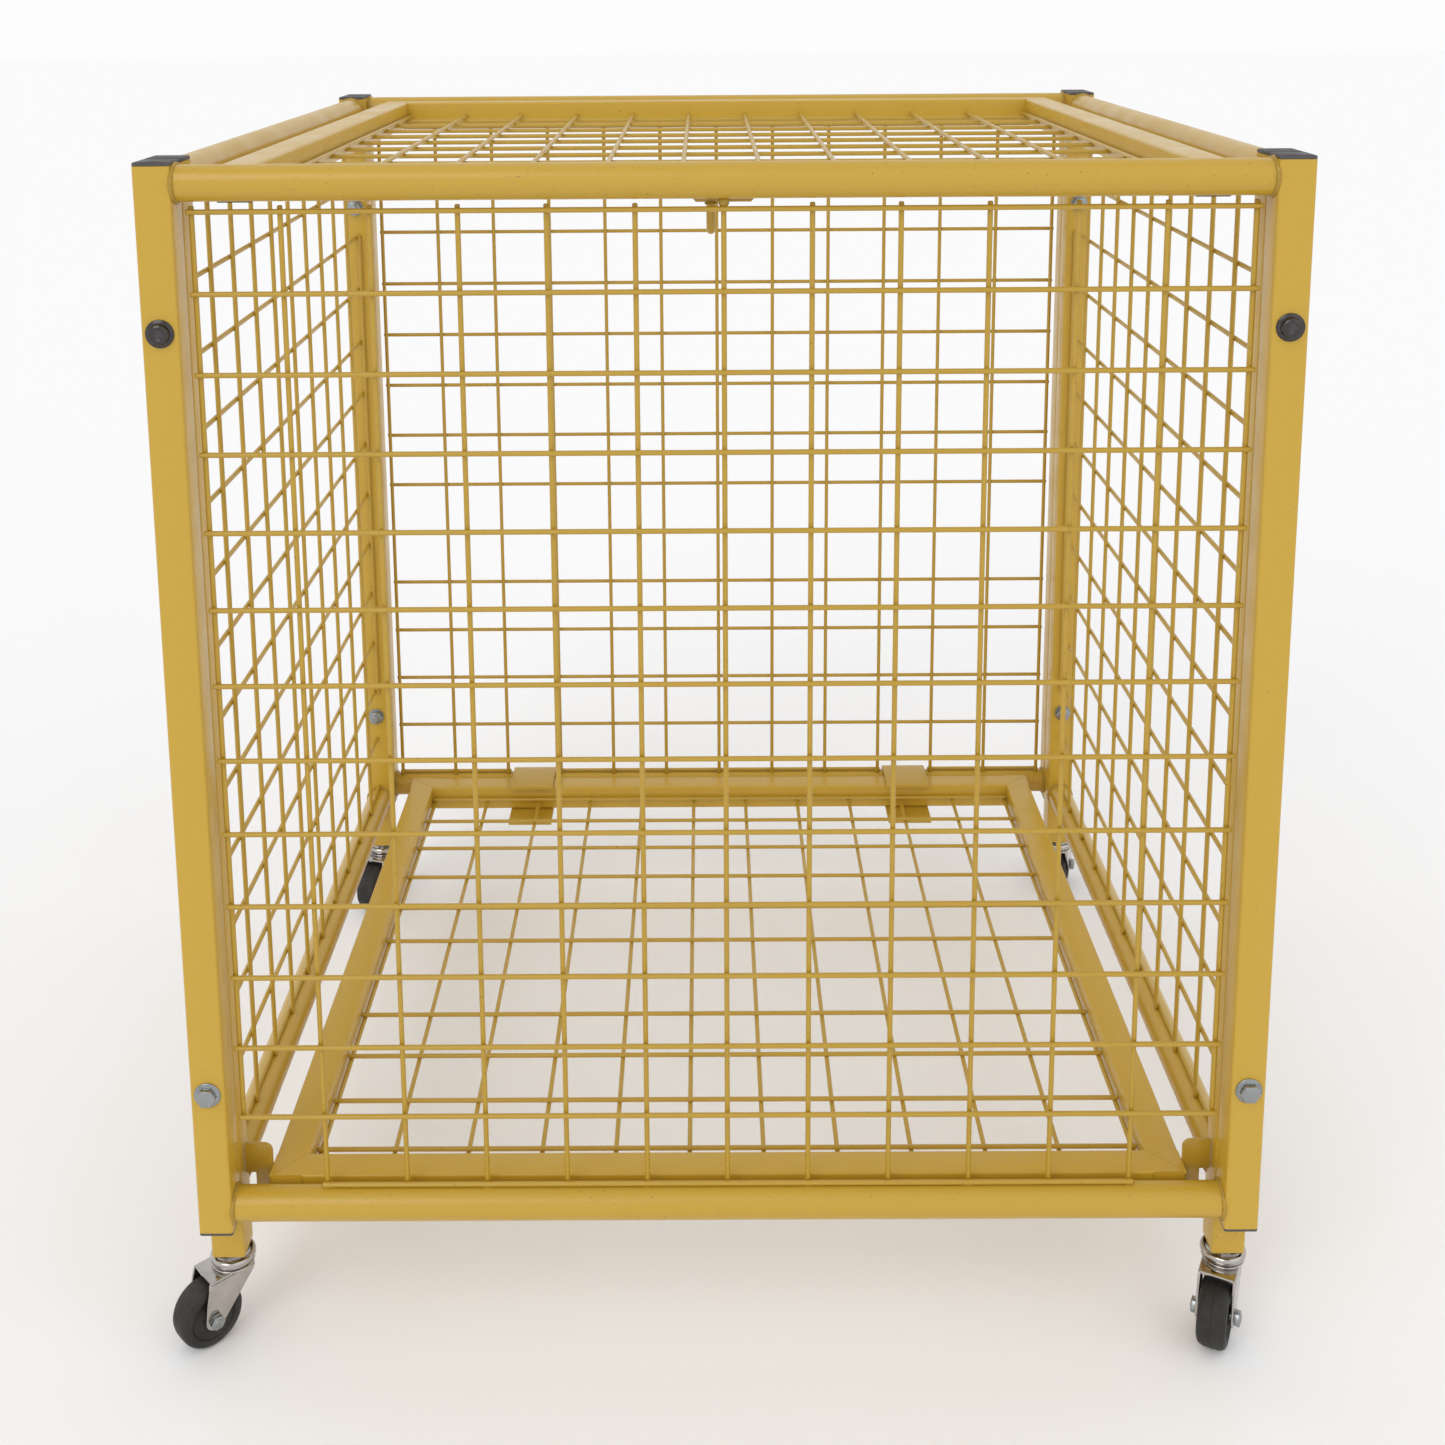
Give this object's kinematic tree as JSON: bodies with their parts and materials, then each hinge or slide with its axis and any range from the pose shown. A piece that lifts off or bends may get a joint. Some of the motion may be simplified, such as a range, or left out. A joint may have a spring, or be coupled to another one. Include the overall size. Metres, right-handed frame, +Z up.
{
  "type": "roll cage container",
  "caption": "Wheeled wire mesh cage with a hinged mesh lid and a hinged mesh floor, bolted from welded tube frames and carried on swivel casters.",
  "frame": {"origin": "on the ground under the middle of the cage", "axes": "+X to the right seen from the front, +Y to the back, where the lid and the floor are hinged, +Z up"},
  "size_m": [1.0547, 0.9242, 1.1534],
  "materials": {
    "coating": "glossy yellow coating, slightly uneven",
    "cap_plastic": "moulded black plastic",
    "bolt_zinc": "zinc plated steel",
    "bolt_dark": "dark plated steel",
    "caster_plating": "bright plated pressed steel",
    "tread": "dark grey moulded wheel"
  },
  "bodies": {
    "cage": {"front_frame": "coating", "rear_frame": "coating", "left_side_frame": "coating", "right_side_frame": "coating", "front_mesh": "coating", "rear_mesh": "coating", "left_side_mesh": "coating", "right_side_mesh": "coating", "front_left_post_cap": "cap_plastic", "front_left_post_plug": "cap_plastic", "front_left_upright_cap": "cap_plastic", "bolt_front_left_low": "bolt_zinc", "bolt_front_left_high": "bolt_dark", "front_left_caster_stem": "caster_plating", "front_right_post_cap": "cap_plastic", "front_right_post_plug": "cap_plastic", "front_right_upright_cap": "cap_plastic", "bolt_front_right_low": "bolt_zinc", "bolt_front_right_high": "bolt_dark", "front_right_caster_stem": "caster_plating", "rear_left_post_cap": "cap_plastic", "rear_left_post_plug": "cap_plastic", "rear_left_upright_cap": "cap_plastic", "bolt_rear_left_low": "bolt_zinc", "bolt_rear_left_high": "bolt_zinc", "rear_left_caster_stem": "caster_plating", "rear_right_post_cap": "cap_plastic", "rear_right_post_plug": "cap_plastic", "rear_right_upright_cap": "cap_plastic", "bolt_rear_right_low": "bolt_zinc", "bolt_rear_right_high": "bolt_zinc", "rear_right_caster_stem": "caster_plating"},
    "lid": {"lid_frame": "coating", "lid_mesh": "coating", "lid_lock_plate": "coating", "lid_lock_staple": "coating", "lid_left_plug": "cap_plastic", "lid_right_plug": "cap_plastic", "lid_left_strap": "coating", "lid_right_strap": "coating"},
    "floor": {"floor_frame": "coating", "floor_mesh": "coating", "floor_left_strap": "coating", "floor_right_strap": "coating", "floor_left_hook": "coating", "floor_right_hook": "coating"},
    "front_left_swivel": {"front_left_caster_fork": "caster_plating", "front_left_caster_axle": "bolt_zinc"},
    "front_left_wheel": {"front_left_caster_wheel": "tread"},
    "front_right_swivel": {"front_right_caster_fork": "caster_plating", "front_right_caster_axle": "bolt_zinc"},
    "front_right_wheel": {"front_right_caster_wheel": "tread"},
    "rear_left_swivel": {"rear_left_caster_fork": "caster_plating", "rear_left_caster_axle": "bolt_zinc"},
    "rear_left_wheel": {"rear_left_caster_wheel": "tread"},
    "rear_right_swivel": {"rear_right_caster_fork": "caster_plating", "rear_right_caster_axle": "bolt_zinc"},
    "rear_right_wheel": {"rear_right_caster_wheel": "tread"}
  },
  "joints": [
    {"name": "lid_hinge", "type": "hinge", "parent": "cage", "child": "lid", "pos_m": [0, 0.434, 1.134], "axis": [-1, 0, 0], "range_deg": [0, 105]},
    {"name": "floor_lift", "type": "hinge", "parent": "cage", "child": "floor", "pos_m": [0, 0.434, 0.158], "axis": [-1, 0, 0], "range_deg": [0, 24]},
    {"name": "front_left_swivel_turn", "type": "hinge", "parent": "cage", "child": "front_left_swivel", "pos_m": [-0.484, -0.4016, 0.074], "axis": [0, 0, 1], "continuous": true},
    {"name": "front_left_wheel_roll", "type": "hinge", "parent": "front_left_swivel", "child": "front_left_wheel", "pos_m": [-0.50594, -0.42206, 0.032], "axis": [0.682, -0.7314, 0], "continuous": true},
    {"name": "front_right_swivel_turn", "type": "hinge", "parent": "cage", "child": "front_right_swivel", "pos_m": [0.484, -0.4016, 0.074], "axis": [0, 0, 1], "continuous": true},
    {"name": "front_right_wheel_roll", "type": "hinge", "parent": "front_right_swivel", "child": "front_right_wheel", "pos_m": [0.47085, -0.42856, 0.032], "axis": [0.8988, -0.4384, 0], "continuous": true},
    {"name": "rear_left_swivel_turn", "type": "hinge", "parent": "cage", "child": "rear_left_swivel", "pos_m": [-0.484, 0.4016, 0.074], "axis": [0, 0, 1], "continuous": true},
    {"name": "rear_left_wheel_roll", "type": "hinge", "parent": "rear_left_swivel", "child": "rear_left_wheel", "pos_m": [-0.49327, 0.37307, 0.032], "axis": [0.9511, -0.309, 0], "continuous": true},
    {"name": "rear_right_swivel_turn", "type": "hinge", "parent": "cage", "child": "rear_right_swivel", "pos_m": [0.484, 0.4016, 0.074], "axis": [0, 0, 1], "continuous": true},
    {"name": "rear_right_wheel_roll", "type": "hinge", "parent": "rear_right_swivel", "child": "rear_right_wheel", "pos_m": [0.49426, 0.42979, 0.032], "axis": [-0.9397, 0.342, 0], "continuous": true}
  ]
}
